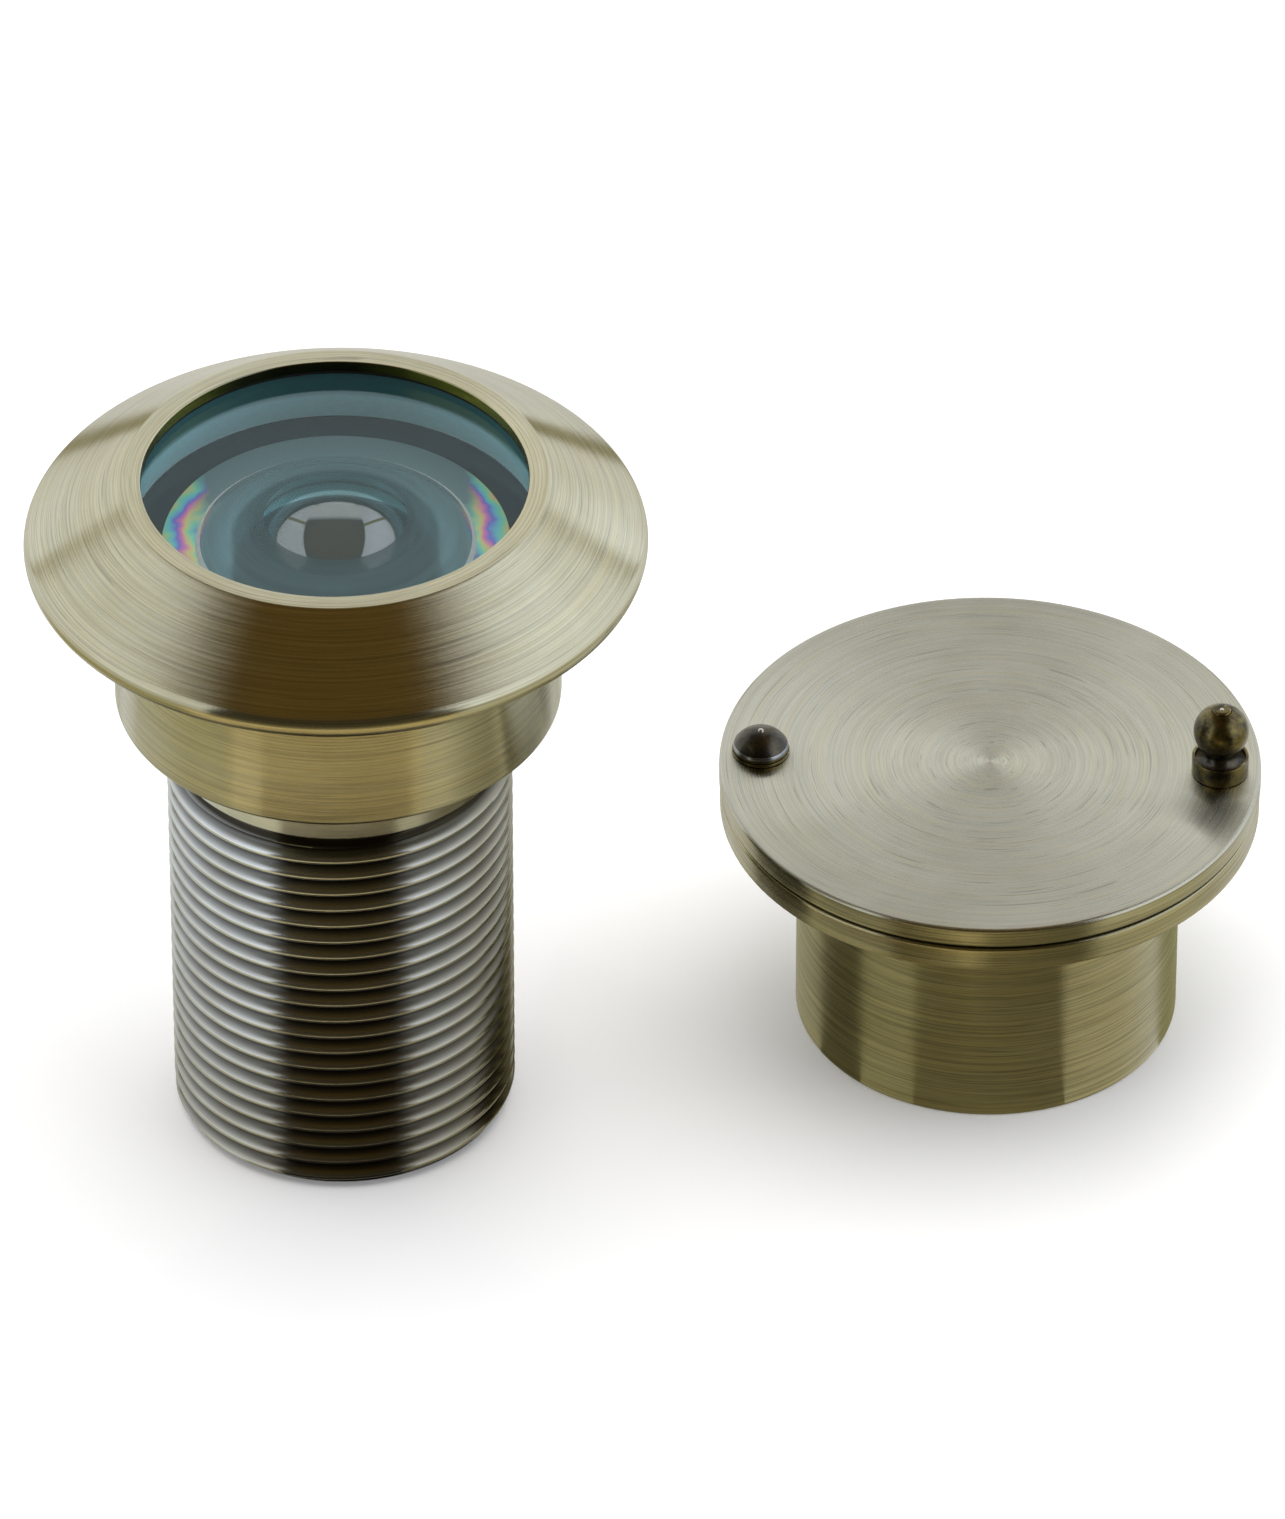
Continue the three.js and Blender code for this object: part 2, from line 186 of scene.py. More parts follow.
def turned(name, section, place, material, body, nodes, segments=SEGMENTS, closed=True):
    mesh = bmesh.new()
    spin(mesh, rounded(section, closed), segments, closed)
    return finished(name, mesh, place, material, body, nodes)


def thread_surface(mesh, crest, root, high, low_radius, high_radius, outward):
    """A helical surface of rounded threads, between plain circles of low_radius and of high_radius."""
    turns = math.ceil(high / PITCH) + 2
    rows = turns * THREAD_STEPS
    grid = []
    for row in range(rows + 1):
        phase = row % THREAD_STEPS / THREAD_STEPS
        depth = 0.5 - 0.5 * math.cos(math.tau * phase)
        shaped = depth ** 0.75
        ring = []
        for k in range(THREAD_SEGMENTS):
            around = k / THREAD_SEGMENTS
            height = PITCH * (row / THREAD_STEPS + around - 1.5)
            clamped = min(max(height, 0), high)
            reach = root + (crest - root) * shaped
            if outward:
                reach = min(reach, low_radius + clamped, high_radius + high - clamped)
            else:
                reach = max(reach, low_radius - clamped, high_radius - high + clamped)
            angle = math.tau * around
            ring.append(mesh.verts.new((reach * math.cos(angle), reach * math.sin(angle), clamped)))
        grid.append(ring)

    def at(row, k):
        if k < THREAD_SEGMENTS:
            return grid[row][k]
        return grid[min(row + THREAD_STEPS, rows)][0]

    for row in range(rows):
        for k in range(THREAD_SEGMENTS):
            add_face(mesh, [at(row, k), at(row, k + 1), at(row + 1, k + 1), at(row + 1, k)])


def welded(mesh):
    """Merges the points of a helical surface that were brought together at its ends."""
    bmesh.ops.remove_doubles(mesh, verts=mesh.verts, dist=TOUCHING)
    flat = [f for f in mesh.faces if f.calc_area() < NO_AREA]
    bmesh.ops.delete(mesh, geom=flat, context="FACES_ONLY")


# ---------------------------------------------------------------- material helpers
class Tree:
    """A node tree with short calls for the nodes used here."""

    def __init__(self, tree):
        self.tree = tree

    def add(self, kind, **settings):
        node = self.tree.nodes.new(kind)
        for key, value in settings.items():
            setattr(node, key, value)
        return node

    def link(self, source, target):
        self.tree.links.new(source, target)

    def math(self, operation, first, second=0.0, third=0.0, clamp=False):
        node = self.add("ShaderNodeMath", operation=operation, use_clamp=clamp)
        for socket, value in zip(node.inputs, (first, second, third)):
            if isinstance(value, (int, float)):
                socket.default_value = value
            else:
                self.link(value, socket)
        return node.outputs[0]

    def split(self, vector):
        node = self.add("ShaderNodeSeparateXYZ")
        self.link(vector, node.inputs[0])
        return node.outputs

    def join(self, x, y, z):
        node = self.add("ShaderNodeCombineXYZ")
        for socket, value in zip(node.inputs, (x, y, z)):
            if isinstance(value, (int, float)):
                socket.default_value = value
            else:
                self.link(value, socket)
        return node.outputs[0]

    def step(self, value, low, high):
        """A soft step from 0 at low to 1 at high."""
        node = self.add("ShaderNodeMapRange", interpolation_type="SMOOTHSTEP")
        self.link(value, node.inputs["Value"])
        node.inputs["From Min"].default_value = low
        node.inputs["From Max"].default_value = high
        return node.outputs["Result"]

    def along(self, direction, axis):
        """How far a direction points along an axis."""
        node = self.add("ShaderNodeVectorMath", operation="DOT_PRODUCT")
        self.link(direction, node.inputs[0])
        node.inputs[1].default_value = axis
        return node.outputs["Value"]

    def noise(self, vector, scale, detail=3.0, rough=0.55):
        node = self.add("ShaderNodeTexNoise")
        self.link(vector, node.inputs["Vector"])
        node.inputs["Scale"].default_value = scale
        node.inputs["Detail"].default_value = detail
        node.inputs["Roughness"].default_value = rough
        return node.outputs["Fac"]

    def ramp(self, value, stops):
        """A colour ramp from (position, colour) stops; a single number stands for a grey."""
        node = self.add("ShaderNodeValToRGB")
        self.link(value, node.inputs[0])
        ramp = node.color_ramp
        while len(ramp.elements) < len(stops):
            ramp.elements.new(0.5)
        for element, (position, colour) in zip(ramp.elements, stops):
            element.position = position
            shade = (colour,) * 3 if isinstance(colour, (int, float)) else colour
            element.color = (*shade, 1)
        return node.outputs[0]

    def mix(self, amount, first, second, blend="MIX"):
        node = self.add("ShaderNodeMix", data_type="RGBA", blend_type=blend)
        colours = [s for s in node.inputs if s.type == "RGBA"]
        for socket, value in zip([node.inputs[0], *colours], (amount, first, second)):
            if isinstance(value, (int, float)):
                socket.default_value = value
            elif isinstance(value, tuple):
                socket.default_value = (*value, 1)
            else:
                self.link(value, socket)
        return [s for s in node.outputs if s.type == "RGBA"][0]

    def bump(self, height, strength, distance, normal=None):
        node = self.add("ShaderNodeBump")
        node.inputs["Strength"].default_value = strength
        node.inputs["Distance"].default_value = distance
        self.link(height, node.inputs["Height"])
        if normal is not None:
            self.link(normal, node.inputs["Normal"])
        return node.outputs[0]


class Nodes(Tree):
    """A material's node tree, with its shader and the place on the piece."""

    def __init__(self, name):
        self.material = bpy.data.materials.new(name)
        self.material.use_nodes = True
        super().__init__(self.material.node_tree)
        self.shader = self.tree.nodes["Principled BSDF"]
        self.place = self.add("ShaderNodeTexCoord").outputs["Object"]

    def from_axis(self, x, y):
        """How far a place is from the axis that its piece is turned about."""
        return self.math("SQRT", self.math("ADD", self.math("MULTIPLY", x, x), self.math("MULTIPLY", y, y)))

    def turning(self, lines, wander):
        """A place that runs fast across the turning lines and slowly round the axis."""
        x, y, z = self.split(self.place)
        reach = self.from_axis(x, y)
        safe = self.math("MAXIMUM", reach, 1e-5)
        cosine = self.math("DIVIDE", x, safe)
        sine = self.math("DIVIDE", y, safe)
        across = self.math("MULTIPLY", self.math("SUBTRACT", reach, self.math("MULTIPLY", z, SHEAR)), lines)
        return self.join(across, self.math("MULTIPLY", cosine, wander), self.math("MULTIPLY", sine, wander))

    def feed(self, name, source):
        """Links what varies over the surface to an input of the shader."""
        self.link(source, self.shader.inputs[name])

    def shine(self, **values):
        """Sets numbers and colours that are the same all over, straight on the shader."""
        for name, value in values.items():
            socket = self.shader.inputs[name.replace("_", " ")]
            socket.default_value = (*value, 1) if isinstance(value, tuple) and len(value) == 3 else value


def round_tangent(nodes):
    """The brush lines run round the axis, so highlights spread across them."""
    tangent = nodes.add("ShaderNodeTangent", direction_type="RADIAL", axis="Z")
    nodes.feed("Tangent", tangent.outputs[0])
    nodes.shine(Anisotropic_Rotation=0.25)


def antique_brass(name, light, dark, roughness, anisotropy=0.97, line_shade=0.3, front_back_shade=0.0):
    """Turned and lacquered brass: fine lines and short scratches round the axis, and soft clouds of tarnish.

    The last argument is painted shade: how much darker the two stretches that lie furthest to the front and
    back are made.
    """
    nodes = Nodes(name)
    fine = nodes.noise(nodes.turning(9000.0, 0.7), 1.0, detail=4.0, rough=0.8)
    broad = nodes.noise(nodes.turning(3200.0, 0.5), 1.0, detail=3.0, rough=0.7)
    scratch = nodes.noise(nodes.turning(9500.0, 2.4), 1.0, detail=0.0)
    cloud = nodes.noise(nodes.place, 130.0, detail=4.0)
    base = nodes.mix(nodes.ramp(cloud, [(0.3, 0.0), (0.72, 1.0)]), light, dark)
    warm, cool = (1.0, 0.98, 0.92), (0.965, 0.985, 1.0)
    drift = nodes.mix(nodes.ramp(broad, [(0.36, 0.0), (0.64, 1.0)]), warm, cool)
    toned = nodes.mix(1.0, base, drift, "MULTIPLY")
    lined = nodes.mix(line_shade, toned, nodes.ramp(fine, [(0.4, 0.15), (0.58, 1.0)]), "MULTIPLY")
    scored = nodes.mix(0.35, lined, nodes.ramp(scratch, [(0.7, 1.0), (0.75, 0.3)]), "MULTIPLY")
    # Painted shade: the stretches nearest the x = 0 plane, at the front and back, are darkened.
    x = nodes.split(nodes.place)[0]
    aside = nodes.math("DIVIDE", nodes.math("ABSOLUTE", x), LENS_OPENING * MM, clamp=True)
    front_back_shading = nodes.ramp(aside, [(0.3, 1.0 - front_back_shade), (0.75, 1.0)])
    nodes.feed("Base Color", nodes.mix(1.0, scored, front_back_shading, "MULTIPLY"))
    wear = nodes.math("MULTIPLY_ADD", fine, 0.1, roughness - 0.05)
    haze = nodes.math("MULTIPLY_ADD", cloud, 0.08, -0.04)
    nodes.feed("Roughness", nodes.math("ADD", wear, haze, clamp=True))
    lines = nodes.bump(fine, 0.4, 0.012 * MM)
    pits = nodes.bump(nodes.noise(nodes.place, 2600.0, detail=2.0), 0.08, 0.01 * MM, lines)
    nodes.feed("Normal", pits)
    nodes.shine(Metallic=1.0, Anisotropic=anisotropy, Coat_Weight=0.3, Coat_Roughness=0.2)
    round_tangent(nodes)
    return nodes.material


def dark_bronze(name, light, dark, roughness, wear=1.0):
    """Chemically darkened bronze, polished by handling on its high places."""
    nodes = Nodes(name)
    cloud = nodes.noise(nodes.place, 900.0, detail=5.0, rough=0.65)
    edges = nodes.add("ShaderNodeNewGeometry").outputs["Pointiness"]
    worn = nodes.ramp(edges, [(0.52, 0.0), (0.6, wear)])
    base = nodes.mix(nodes.ramp(cloud, [(0.42, 0.0), (0.6, 1.0)]), light, dark)
    nodes.feed("Base Color", nodes.mix(worn, base, (0.34, 0.3, 0.16)))
    nodes.feed("Roughness", nodes.math("MULTIPLY_ADD", cloud, 0.16, roughness - 0.08))
    lines = nodes.noise(nodes.turning(6000.0, 2.0), 1.0)
    nodes.feed("Normal", nodes.bump(lines, 0.12, 0.006 * MM))
    nodes.shine(Metallic=1.0, Anisotropic=0.25, Coat_Weight=0.3, Coat_Roughness=0.12)
    round_tangent(nodes)
    return nodes.material


def cut_thread(name):
    """Bare turned brass gone grey, with painted shade: dark in the thread's roots and on upward faces, darker
    and browner to the right and towards the end at z=0.
    """
    nodes = Nodes(name)
    x, y, z = nodes.split(nodes.place)
    reach = nodes.from_axis(x, y)
    root, depth = 9.8 * MM, 0.85 * MM
    crest = nodes.math("DIVIDE", nodes.math("SUBTRACT", reach, root), depth, clamp=True)
    lines = nodes.noise(nodes.turning(12000.0, 2.0), 1.0, detail=4.0, rough=0.7)
    stain = nodes.noise(nodes.place, 170.0, detail=4.0)
    low = nodes.math("DIVIDE", z, THREAD_TOP * MM, clamp=True)
    metal = nodes.mix(nodes.ramp(stain, [(0.35, 0.0), (0.7, 1.0)]), (0.82, 0.86, 0.86), (0.64, 0.65, 0.61))
    # Painted shade: the thread's roots are darkened.
    root_shaded = nodes.mix(nodes.ramp(crest, [(0.3, 1.0), (0.85, 0.0)]), metal, (0.06, 0.054, 0.04))
    # Painted shade: darker towards the end at z=0, which stands on the floor.
    end_shade = nodes.ramp(low, [(0.0, (0.62, 0.58, 0.5)), (0.8, 1.0)])
    end_shaded = nodes.mix(1.0, root_shaded, end_shade, "MULTIPLY")
    # Painted shade: darker and browner towards the right side.
    across = nodes.math("MULTIPLY_ADD", x, 0.5 / (CREST * MM), 0.5, clamp=True)
    brown = nodes.ramp(across, [(0.3, 1.0), (0.85, (0.5, 0.46, 0.36))])
    right_shaded = nodes.mix(1.0, end_shaded, brown, "MULTIPLY")
    # Painted shade: faces that point upwards are darkened.
    facing = nodes.split(nodes.add("ShaderNodeNewGeometry").outputs["Normal"])[2]
    up_facing_shaded = nodes.mix(1.0, right_shaded, nodes.ramp(facing, [(0.5, 1.0), (0.9, 0.45)]), "MULTIPLY")
    nodes.feed("Base Color", nodes.mix(0.25, up_facing_shaded, nodes.ramp(lines, [(0.3, 0.3), (0.7, 1.0)]), "MULTIPLY"))
    nodes.feed("Roughness", nodes.math("MULTIPLY_ADD", lines, 0.12, 0.16))
    nodes.feed("Normal", nodes.bump(lines, 0.25, 0.01 * MM))
    nodes.shine(Metallic=1.0, Anisotropic=0.8)
    round_tangent(nodes)
    return nodes.material


def bright_steel(name, dark, light):
    nodes = Nodes(name)
    lines = nodes.noise(nodes.turning(9000.0, 2.0), 1.0)
    nodes.feed("Base Color", nodes.ramp(lines, [(0.3, dark), (0.7, light)]))
    nodes.feed("Roughness", nodes.math("MULTIPLY_ADD", lines, 0.15, 0.18))
    nodes.shine(Metallic=1.0)
    return nodes.material


def dull_black(name, colour, roughness, grain):
    """Moulded black plastic or rubber with a fine grain."""
    nodes = Nodes(name)
    grains = nodes.noise(nodes.place, grain, detail=3.0)
    shade = nodes.ramp(grains, [(0.3, tuple(0.7 * c for c in colour)), (0.7, tuple(1.3 * c for c in colour))])
    nodes.feed("Base Color", shade)
    nodes.feed("Roughness", nodes.math("MULTIPLY_ADD", grains, 0.2, roughness - 0.1))
    nodes.feed("Normal", nodes.bump(grains, 0.2, 0.02 * MM))
    return nodes.material


def ground_edge(name, foot, body, head):
    """A lens's matt ground wall, in three shades from its foot to its head."""
    nodes = Nodes(name)
    z = nodes.split(nodes.place)[2]
    thickness = 8 * MM
    height = nodes.math("DIVIDE", nodes.math("SUBTRACT", z, LENS_LOW * MM), thickness, clamp=True)
    grain = nodes.noise(nodes.place, 2200.0)
    shade = nodes.ramp(height, [(0.05, foot), (0.42, body), (0.56, head)])
    nodes.feed("Base Color", nodes.mix(0.2, shade, nodes.ramp(grain, [(0.3, 0.5), (0.7, 1.0)]), "MULTIPLY"))
    nodes.shine(Roughness=0.6)
    return nodes.material


def contact_rings(name):
    """The grey-green band where two lenses nearly touch, with interference colours painted at its left and
    right: a painted reflection.
    """
    nodes = Nodes(name)
    x, y, _ = nodes.split(nodes.place)
    reach = nodes.from_axis(x, y)
    ripple = nodes.noise(nodes.place, 420.0, detail=2.0)
    beyond = nodes.math("SUBTRACT", reach, BOWL * MM)
    gap = nodes.math("MULTIPLY_ADD", beyond, 1000.0, nodes.math("MULTIPLY", ripple, 2.2))
    order = nodes.math("FRACT", nodes.math("MULTIPLY", gap, 0.62))
    hues = nodes.ramp(order, [
        (0.0, (0.5, 0.42, 0.16)), (0.2, (0.5, 0.14, 0.36)), (0.4, (0.12, 0.12, 0.5)), (0.6, (0.1, 0.42, 0.5)),
        (0.8, (0.18, 0.5, 0.3)), (1.0, (0.5, 0.42, 0.16)),
    ])
    # Painted reflection: the interference colours are shown only at the left and right.
    turned_x = nodes.math("ADD", x, nodes.math("MULTIPLY", y, -0.19))
    sideways = nodes.math("DIVIDE", nodes.math("ABSOLUTE", turned_x), 9.4 * MM)
    shown = nodes.ramp(nodes.math("MULTIPLY_ADD", ripple, 0.2, nodes.math("SUBTRACT", sideways, 0.1)),
                       [(0.82, 0.0), (0.93, 1.0)])
    nodes.feed("Base Color", nodes.mix(shown, (0.1, 0.16, 0.17), hues))
    nodes.shine(Roughness=0.25)
    return nodes.material


def lens_glass(name, tint, clarity, coat=0.0, mirror=(1.0, 1.0, 1.0)):
    """Smooth glass with a trace of haze.

    Clarity is the share of the light that is let in, coat is the weight of a mirror-like layer, and mirror is
    the tint of the reflections.
    """
    nodes = Nodes(name)
    smear = nodes.noise(nodes.place, 190.0, detail=3.0)
    clean = tuple(min(1.0, 1.04 * c) for c in tint)
    nodes.feed("Base Color", nodes.ramp(smear, [(0.35, tint), (0.75, clean)]))
    nodes.feed("Roughness", nodes.math("MULTIPLY", smear, 0.02))
    nodes.shine(Transmission_Weight=clarity, IOR=1.52, Coat_Weight=coat, Coat_IOR=2.4, Coat_Roughness=0.0,
                Specular_Tint=mirror)
    return nodes.material


def bowl_wall(name):
    """The steep wall of the front lens's bowl: satin glass that darkens towards the clear middle."""
    nodes = Nodes(name)
    x, y, _ = nodes.split(nodes.place)
    reach = nodes.from_axis(x, y)
    inside, width = 4.3 * MM, 4.1 * MM
    outward = nodes.math("DIVIDE", nodes.math("SUBTRACT", reach, inside), width, clamp=True)
    ripple = nodes.noise(nodes.turning(1400.0, 0.3), 1.0, detail=2.0)
    inner, middle_shade, outer = (0.05, 0.075, 0.08), (0.09, 0.14, 0.15), (0.16, 0.23, 0.24)
    shade = nodes.ramp(outward, [(0.0, inner), (0.4, middle_shade), (1.0, outer)])
    waves = nodes.ramp(ripple, [(0.35, 0.4), (0.65, 1.0)])
    nodes.feed("Base Color", nodes.mix(0.35, shade, waves, "MULTIPLY"))
    nodes.shine(Transmission_Weight=0.4, IOR=1.52, Roughness=0.12)
    return nodes.material


BRASS_HEAD = antique_brass("brushed_brass_head", (0.62, 0.595, 0.44), (0.55, 0.515, 0.35), 0.2,
                           line_shade=0.34)
BRASS_INNER = antique_brass("brushed_brass_inner", (0.54, 0.505, 0.325), (0.46, 0.415, 0.245), 0.23,
                            line_shade=0.48)
BRASS_COVER = antique_brass("brushed_brass_cover", (0.57, 0.56, 0.48), (0.52, 0.51, 0.42), 0.27,
                            line_shade=0.2)
# Tarnished brass for the lip inside the bore, with painted shade on its front and back stretches.
DARK_LIP = antique_brass("tarnished_and_shaded_lip", (0.42, 0.39, 0.05), (0.27, 0.245, 0.02), 0.16, anisotropy=0.3,
                         front_back_shade=0.9)
BRONZE = dark_bronze("dark_bronze", (0.18, 0.142, 0.045), (0.042, 0.037, 0.018), 0.33)
RIVET_BRONZE = dark_bronze("rivet_bronze", (0.095, 0.082, 0.055), (0.04, 0.038, 0.032), 0.36, wear=0.0)
THREAD_METAL = cut_thread("cut_thread")
STEEL = bright_steel("washer_steel", (0.5, 0.49, 0.46), (0.74, 0.73, 0.7))
RUBBED = bright_steel("rubbed_edge", (0.26, 0.28, 0.3), (0.4, 0.42, 0.44))
PLASTIC = dull_black("black_plastic", (0.012, 0.013, 0.014), 0.45, 1500.0)
RUBBER = dull_black("black_rubber", (0.014, 0.013, 0.012), 0.7, 2500.0)
GROUND_EDGE = ground_edge("ground_glass_edge", (0.36, 0.67, 0.73), (0.41, 0.8, 0.9), (0.075, 0.22, 0.24))
PALE = (0.9, 0.98, 0.98)
BOWL_EDGE = ground_edge("ground_bowl_edge", PALE, PALE, PALE)
CONTACT_RINGS = contact_rings("contact_rings")
FRONT_GLASS = lens_glass("front_glass", (0.86, 0.95, 0.94), 1.0, mirror=(0.42, 0.66, 0.75))
BOWL_WALL = bowl_wall("bowl_wall_glass")
BOWL_GLASS = lens_glass("bowl_glass", (0.03, 0.04, 0.04), 0.55, 1.0)
INNER_GLASS = lens_glass("inner_glass", (0.6, 0.78, 0.8), 0.96)
# Painted shade: the rear lens is tinted dark, so that the floor seen through it looks shaded.
SHADE_TINTED_GLASS = lens_glass("shade_tinted_glass", (0.3, 0.36, 0.37), 0.97)


# ---------------------------------------------------------------- outer half
def viewer_head():
    """Bevelled flange and collar, bored from behind. The flange's rim is rounded over into the bevel."""
    flange, under, ring_face, top = 19, 42.1, 13, 47.3
    bevel_width, bevel_height = 6, 4.2
    rim, centre = 0.9, 42.631  # radius of the rim's rounding, and the height of its centre
    start = -math.asin((centre - under) / rim)
    finish = math.atan2(bevel_width, bevel_height)
    steps = 14
    edge = []
    for i in range(steps + 1):
        angle = start + (finish - start) * i / steps
        edge.append((flange - rim + rim * math.cos(angle), centre + rim * math.sin(angle)))
    tube_hole, lens_bore, foot, bore_end, lip = 10.75, 12.5, 31.2, 33.6, 46.6
    section = mm([
        (tube_hole, foot), (COLLAR, foot, 0.3), (COLLAR, under, 0.25), *edge, (ring_face, top, 0.08),
        (LENS_OPENING, top, 0.08), (LENS_OPENING, lip), (lens_bore, lip), (lens_bore, bore_end),
        (tube_hole, bore_end),
    ])
    head = turned("head_flange_and_collar", section, AT_OUTER, BRASS_HEAD, "outer_half",
                  ["viewer_head"])
    # The lip's walls get the tarnished brass that carries painted shade.
    tarnish_and_shade = added(head, DARK_LIP)
    for face in head.data.polygons:
        wall = face.center.xy.length < 12.6 * MM and abs(face.normal.z) < 0.6
        if wall and face.center.z > bore_end * MM:
            face.material_index = tarnish_and_shade


def threaded_tube():
    """The thread, its undercut, the plain neck and the spigot inside the head, as one surface."""
    mesh = bmesh.new()
    foot, undercut, neck, bore = 9.9, 9.8, 10.5, 8.9
    thread_surface(mesh, CREST * MM, 10.05 * MM, THREAD_TOP * MM, foot * MM, undercut * MM, True)
    rest = rounded(mm([
        (undercut, THREAD_TOP), (undercut, 27.6), (neck, 27.6, 0.15), (neck, 30.6), (CREST, 30.6),
        (CREST, 34.2, 0.2), (bore, 34.2, 0.2), (bore, 0, 0.2), (foot, 0),
    ]), closed=False)
    spin(mesh, rest, THREAD_SEGMENTS, closed=False)
    welded(mesh)
    finished("threaded_tube_fine", mesh, AT_OUTER, THREAD_METAL, "outer_half",
             ["threaded_tube"], sharp=50)


def dished_lens(name, node, reach, low, high, bowl, depth, material, contact=()):
    """A flat-topped lens with a bowl in its underside, which is divided at the radii listed in contact."""
    underside = [(radius, low) for radius in contact]
    section = mm([*dish(bowl, low, depth), *underside, (reach, low, 0.1), (reach, high, 0.15), (0, high)])
    return turned(name, section, AT_OUTER, material, "outer_half", [node], closed=False)


def finish_front_lens(lens, wall, bowl, contact, low):
    """Gives the front lens its ground wall, its bowl's glass, and the coloured rings on its underside."""
    ground = added(lens, GROUND_EDGE)
    rings = added(lens, CONTACT_RINGS)
    bowl_edge = added(lens, BOWL_EDGE)
    clear = added(lens, BOWL_GLASS)
    satin = added(lens, BOWL_WALL)
    for face in lens.data.polygons:
        reach, height = face.center.xy.length, face.center.z
        if abs(face.normal.z) < 0.2 and reach > 0.98 * wall:
            face.material_index = ground
        elif face.normal.z < -0.9 and bowl < reach < contact and abs(height - low) < 0.1 * MM:
            face.material_index = rings
        elif EDGE_SHARE * bowl < reach < bowl and height < low + 0.6 * MM:
            face.material_index = bowl_edge
        elif reach < bowl and height < low + 5.1 * MM:
            face.material_index = clear if reach < CLEAR_SHARE * bowl else satin


def clear_for_light(lens):
    """Shadow and bounce rays pass through a lens, so that what it holds is lit."""
    lens.visible_shadow = False
    lens.visible_diffuse = False


def plain_ring(name, node, inside, outside, low, high, place, material, slot, body):
    section = mm([(inside, low, 0.04), (outside, low, 0.04), (outside, high, 0.04), (inside, high, 0.04)])
    turned(name, section, place, material, body, [node])


def lens_stack():
    """The three lenses of the outer half, in the order that light from the lens's side meets them."""
    contact = 10.4  # the coloured rings reach out to this radius
    front = dished_lens("front_lens_glass", "front_lens", LENS_WALL, LENS_LOW, 46.3, BOWL, 5, FRONT_GLASS,
                        [contact])
    finish_front_lens(front, LENS_WALL * MM, BOWL * MM, contact * MM, LENS_LOW * MM)
    second = dished_lens("middle_lens_glass", "middle_lens", 10.3, 36.2, 38.27, 6.2, 1.2, INNER_GLASS)
    # The rear lens's dark tint is painted shade.
    rear = dished_lens("rear_lens_glass", "rear_lens", 7.6, 33.6, 35.45, 4.6, 1.1, SHADE_TINTED_GLASS)
    for lens in (front, second, rear):
        clear_for_light(lens)


def lens_mounting():
    """The cell that carries the lenses, and the rings that seal, mask, hold and cushion them."""
    bore, skirt, seat, eye = 7.65, 8.7, 10.35, 6.3
    cell = mm([
        (bore, 31.6, 0.05), (skirt, 31.6, 0.1), (skirt, 34.8), (LENS_WALL, 34.8, 0.1),
        (LENS_WALL, 38.27, 0.1), (seat, 38.27, 0.1), (seat, 36.17), (eye, 36.17, 0.1), (eye, 35.77, 0.1),
        (bore, 35.77),
    ])
    turned("lens_cell_cup", cell, AT_OUTER, PLASTIC, "outer_half", ["lens_cell"])
    hard = (AT_OUTER, PLASTIC, "black_plastic", "outer_half")
    soft = (AT_OUTER, RUBBER, "rubber", "outer_half")
    plain_ring("front_seal", "front_seal_ring", 11.9, LENS_WALL, 46.33, 46.57, *soft)
    plain_ring("field_stop", "field_stop_ring", 4.6, 7.6, 35.48, 35.74, *hard)
    plain_ring("cell_retainer", "cell_retaining_ring", 6.2, 7.6, 32.2, 33.57, *hard)
    plain_ring("cushion", "cushion_ring", 9.4, LENS_WALL, 34.23, 34.77, *soft)


# ---------------------------------------------------------------- inner half and its cover
def inner_sleeve():
    """Sleeve and flange: threaded socket below, lens bore above it, and the eye hole through the flange."""
    mesh = bmesh.new()
    socket, thread_end, socket_end = 10.8, 11.3, 12.4
    lens_bore, lip, eye_hole, top = 9, 16.35, 6.5, 17.25
    thread_surface(mesh, socket * MM, 10.05 * MM, thread_end * MM, socket * MM, socket * MM, False)
    rest = rounded(mm([
        (socket, thread_end), (socket, socket_end), (lens_bore, socket_end, 0.1), (lens_bore, lip),
        (eye_hole, lip), (eye_hole, 16.75, 0.1), (7, top, 0.15), (INNER_FLANGE, top, 0.2),
        (INNER_FLANGE, INNER_SEAT, 0.2), (SLEEVE, INNER_SEAT, 0.25), (SLEEVE, 0, 0.3), (socket, 0),
    ]), closed=False)
    spin(mesh, rest, THREAD_SEGMENTS, closed=False)
    welded(mesh)
    finished("sleeve_and_flange", mesh, AT_INNER, BRASS_INNER, "inner_half",
             ["inner_sleeve"], sharp=50)


def eyepiece():
    """The eyepiece lens, which bulges on both sides, with its seal, slip and retaining rings."""
    face, rim, under, over = 7.3, 8.9, 14.4, 16.07
    section = mm([
        *dish(face, under, -1.1), (rim, under, 0.1), (rim, over, 0.1), *reversed(dish(face, over, 0.7)),
    ])
    turned("eyepiece_glass", section, AT_INNER, INNER_GLASS, "inner_half", ["eyepiece_lens"],
           closed=False)
    soft = (AT_INNER, RUBBER, "rubber", "inner_half")
    hard = (AT_INNER, PLASTIC, "black_plastic", "inner_half")
    plain_ring("eyepiece_seal", "eyepiece_seal_ring", 7.6, rim, 16.1, 16.32, *soft)
    plain_ring("eyepiece_slip", "eyepiece_slip_ring", 7.6, rim, 13.93, 14.37, *hard)
    plain_ring("eyepiece_retainer", "eyepiece_retaining_ring", 7.4, rim, 12.9, 13.9, *hard)


def refinish(piece, material, *zones):
    """Gives some faces another finish. A zone is (inner, outer, low, high) in millimetres."""
    finish = added(piece, material)
    for face in piece.data.polygons:
        reach, height = face.center.xy.length / MM, face.center.z / MM
        if any(inner <= reach <= outer and low <= height <= high for inner, outer, low, high in zones):
            face.material_index = finish


